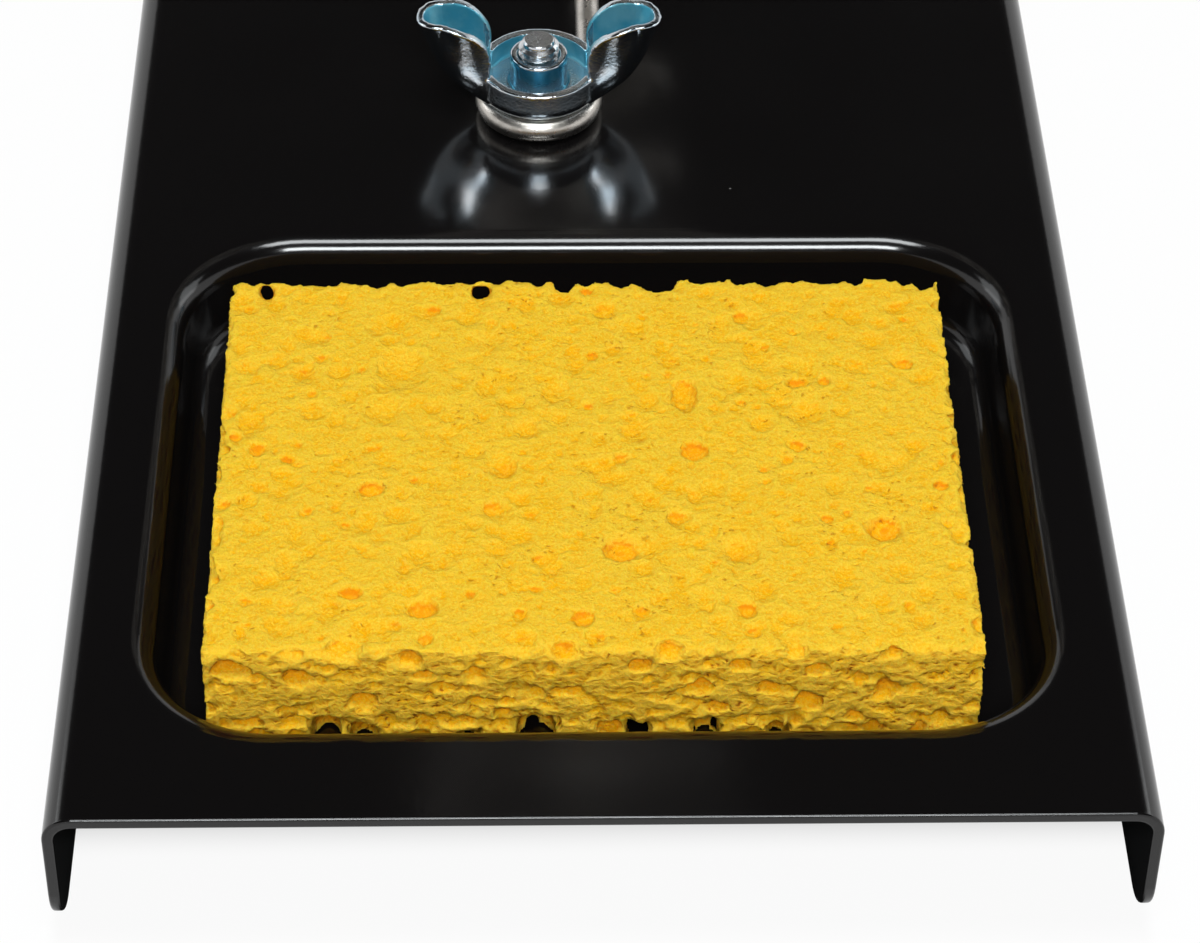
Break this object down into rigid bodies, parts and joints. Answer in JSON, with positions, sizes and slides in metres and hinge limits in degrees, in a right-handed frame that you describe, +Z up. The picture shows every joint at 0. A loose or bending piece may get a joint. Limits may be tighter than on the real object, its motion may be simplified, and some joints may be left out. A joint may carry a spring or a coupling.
{
  "type": "soldering iron stand",
  "caption": "Soldering iron stand: pressed black steel base with a sponge in a drawn well, and a coiled wire holder that a wing nut clamps.",
  "frame": {"origin": "middle of the base's footprint, on the surface that it stands on", "axes": "+Z up, +Y along the base from the sponge to the holder, +X to the right seen from the sponge end"},
  "size_m": [0.0906, 0.16, 0.1147],
  "materials": {
    "black_paint": "gloss black stove enamel",
    "sponge": "coarse open cellulose sponge, yellow",
    "wire": "nickel plated spring wire",
    "zinc": "bright zinc plating, blue passivated"
  },
  "bodies": {
    "base": {"base_plate": "black_paint"},
    "sponge": {"sponge": "sponge"},
    "holder": {"holder": "wire"},
    "nut": {"wing_nut": "zinc"},
    "screw": {"clamp_screw": "zinc", "lock_washer": "zinc"}
  },
  "joints": [
    {"name": "holder_swivel", "type": "hinge", "parent": "base", "child": "holder", "pos_m": [-0.0046, 0.0149, 0.0135], "axis": [0, 0, 1], "range_deg": [-90, 90]},
    {"name": "nut_turn", "type": "hinge", "parent": "base", "child": "nut", "pos_m": [-0.0046, 0.0149, 0.0135], "axis": [0, 0, 1], "range_deg": [0, 1080]},
    {"name": "screw_drop", "type": "slide", "parent": "base", "child": "screw", "axis": [0, 0, -1], "range_m": [0, 0.0022]},
    {"name": "sponge_lift", "type": "slide", "parent": "base", "child": "sponge", "axis": [0, 0, 1], "range_m": [0, 0.03]}
  ],
  "couplings": [
    {"joint": "screw_drop", "follows": "nut_turn", "m_per_rad": 0.00011141}
  ]
}
